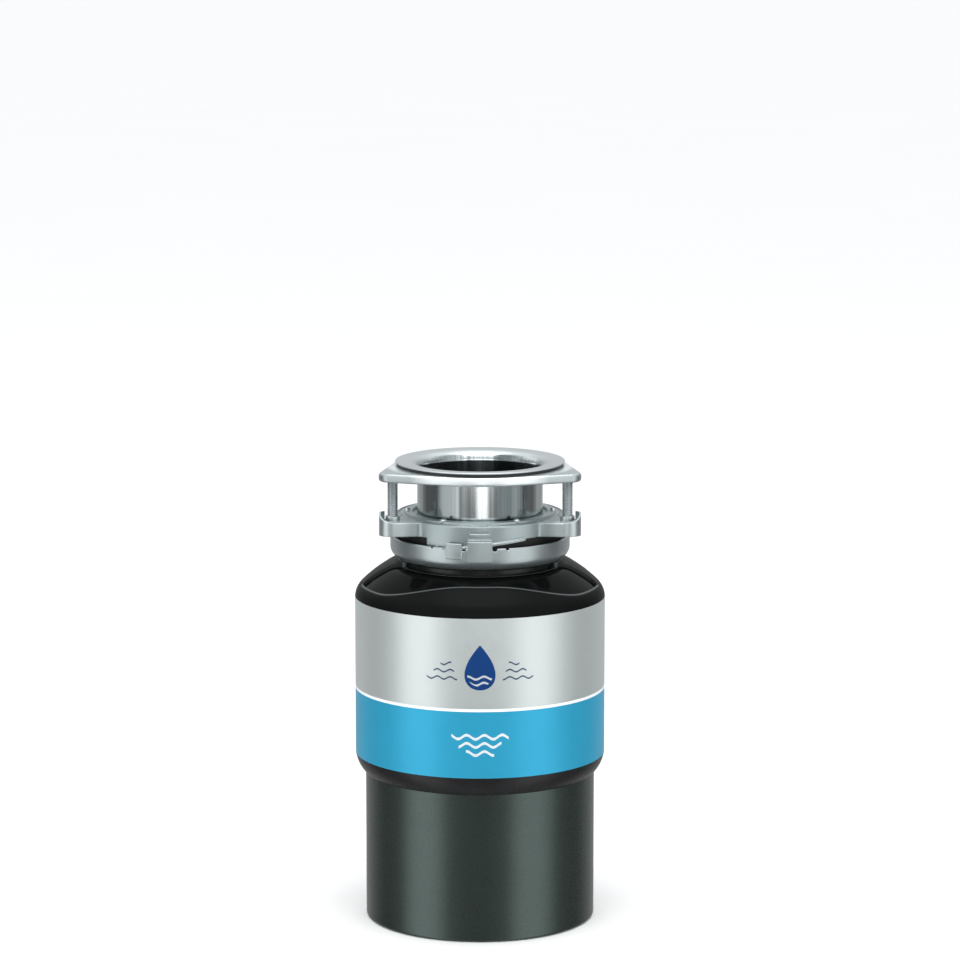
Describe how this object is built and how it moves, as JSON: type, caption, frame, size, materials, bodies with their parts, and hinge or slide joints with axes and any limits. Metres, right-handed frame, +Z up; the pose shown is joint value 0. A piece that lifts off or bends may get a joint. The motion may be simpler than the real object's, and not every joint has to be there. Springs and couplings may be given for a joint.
{
  "type": "kitchen garbage disposal",
  "caption": "Under-sink food waste disposer: motor can, banded shell with domed cover, grinding chamber with turntable and swivel lugs, and a twist-lock sink mount.",
  "frame": {"origin": "on the motor's axis at the flat underside of the motor can", "axes": "+Z up along the motor's axis; the front faces -Y and the waste outlet faces +Y"},
  "size_m": [0.173, 0.2325, 0.3205],
  "materials": {
    "can_paint": "dark satin",
    "drain_metal": "die cast",
    "bronze": "sintered bronze",
    "moulding": "moulded",
    "plated_steel": "satin plated",
    "laminations": "stacked laminations",
    "copper_winding": "lacquered wire",
    "cage_aluminium": "die cast",
    "bright_steel": "machined",
    "black_rubber": "matt",
    "brown_moulding": "phenolic",
    "red_plastic": "gloss",
    "green_screw": "green lacquer",
    "stainless": "brushed stainless",
    "black_plastic": "satin black",
    "silver_wrap": "satin silver",
    "white_wrap": "gloss",
    "blue_wrap": "gloss",
    "seal_rubber": "glossy",
    "foam": "open foam",
    "polished_steel": "polished stainless",
    "cast_metal": "satin cast"
  },
  "bodies": {
    "housing": {"motor_can": "can_paint", "lower_end_bell": "drain_metal", "lower_bearing": "bronze", "thrust_washer": "moulding", "through_bolts": "plated_steel", "stator_core": "laminations", "main_winding": "copper_winding", "start_winding": "copper_winding", "upper_bearing": "bronze", "shaft_seal": "black_rubber", "start_switch": "brown_moulding", "overload_protector": "brown_moulding", "reset_spring": "bright_steel", "wiring_box": "plated_steel", "terminal_cover": "plated_steel", "cover_screw": "plated_steel", "ground_screw": "green_screw", "cable_gland": "black_rubber", "drain_housing": "drain_metal", "chamber_gasket": "black_rubber", "rim_screws": "plated_steel", "outlet_gasket": "black_rubber", "elbow": "moulding", "elbow_bracket": "plated_steel", "elbow_bolts": "plated_steel", "container_body": "stainless", "grind_ring": "stainless", "outer_shell": "black_plastic", "silver_band": "silver_wrap", "white_stripe": "white_wrap", "blue_band": "blue_wrap", "top_cover": "black_plastic", "cover_seal": "seal_rubber", "upper_insulation": "foam", "lower_insulation": "foam", "mounting_gasket": "black_rubber", "splash_baffle": "black_rubber"},
    "rotor": {"motor_shaft": "bright_steel", "rotor_core": "laminations", "rotor_cage": "cage_aluminium", "governor_spring": "bright_steel", "turntable": "stainless", "lug_rivets": "bright_steel", "turntable_nut": "plated_steel"},
    "governor": {"governor_collar": "moulding"},
    "lug_1": {"swivel_lug_1": "stainless"},
    "lug_2": {"swivel_lug_2": "stainless"},
    "reset": {"reset_button": "red_plastic"},
    "lock": {"lock_ring": "cast_metal"},
    "sink_mount": {"sink_flange": "polished_steel", "flange_gasket": "black_rubber", "snap_ring": "bright_steel", "mounting_plate": "cast_metal", "plate_rivets": "bright_steel"},
    "clamp": {"clamp_ring": "cast_metal"},
    "screw_1": {"mounting_screw_1": "plated_steel"},
    "screw_2": {"mounting_screw_2": "plated_steel"},
    "screw_3": {"mounting_screw_3": "plated_steel"}
  },
  "joints": [
    {"name": "rotor_spin", "type": "hinge", "parent": "housing", "child": "rotor", "pos_m": [0, 0, 0.1], "axis": [0, 0, 1], "continuous": true},
    {"name": "lug_1_swing", "type": "hinge", "parent": "rotor", "child": "lug_1", "pos_m": [0.047, 0, 0.188], "axis": [0, 0, 1], "continuous": true},
    {"name": "lug_2_swing", "type": "hinge", "parent": "rotor", "child": "lug_2", "pos_m": [-0.047, 0, 0.188], "axis": [0, 0, 1], "continuous": true},
    {"name": "governor_slide", "type": "slide", "parent": "rotor", "child": "governor", "axis": [0, 0, 1], "range_m": [0, 0.003], "stiffness_N_per_m": 120, "springref_m": -0.003, "deforming": ["governor_spring"]},
    {"name": "reset_press", "type": "slide", "parent": "housing", "child": "reset", "axis": [0, 0, 1], "range_m": [0, 0.0025], "stiffness_N_per_m": 200, "springref_m": -0.002, "deforming": ["reset_spring"]},
    {"name": "lock_turn", "type": "hinge", "parent": "housing", "child": "lock", "pos_m": [0, 0, 0.26], "axis": [0, 0, 1], "range_deg": [-22, 0]},
    {"name": "mount_draw", "type": "slide", "parent": "housing", "child": "sink_mount", "axis": [0, 0, 1], "range_m": [0, 0.00271]},
    {"name": "clamp_slide", "type": "slide", "parent": "sink_mount", "child": "clamp", "axis": [0, 0, 1], "range_m": [-0.012, 0]},
    {"name": "screw_1_turn", "type": "hinge", "parent": "clamp", "child": "screw_1", "pos_m": [0.0595, -0.03435, 0.295], "axis": [0, 0, 1], "range_deg": [-3401.59, 0]},
    {"name": "screw_2_turn", "type": "hinge", "parent": "clamp", "child": "screw_2", "pos_m": [0, 0.0687, 0.295], "axis": [0, 0, 1], "range_deg": [-3401.59, 0]},
    {"name": "screw_3_turn", "type": "hinge", "parent": "clamp", "child": "screw_3", "pos_m": [-0.0595, -0.03435, 0.295], "axis": [0, 0, 1], "range_deg": [-3401.59, 0]}
  ],
  "couplings": [
    {"joint": "mount_draw", "follows": "lock_turn", "m_per_rad": -0.0070318},
    {"joint": "screw_1_turn", "follows": "clamp_slide", "rad_per_m": 4947.4},
    {"joint": "screw_2_turn", "follows": "clamp_slide", "rad_per_m": 4947.4},
    {"joint": "screw_3_turn", "follows": "clamp_slide", "rad_per_m": 4947.4}
  ]
}
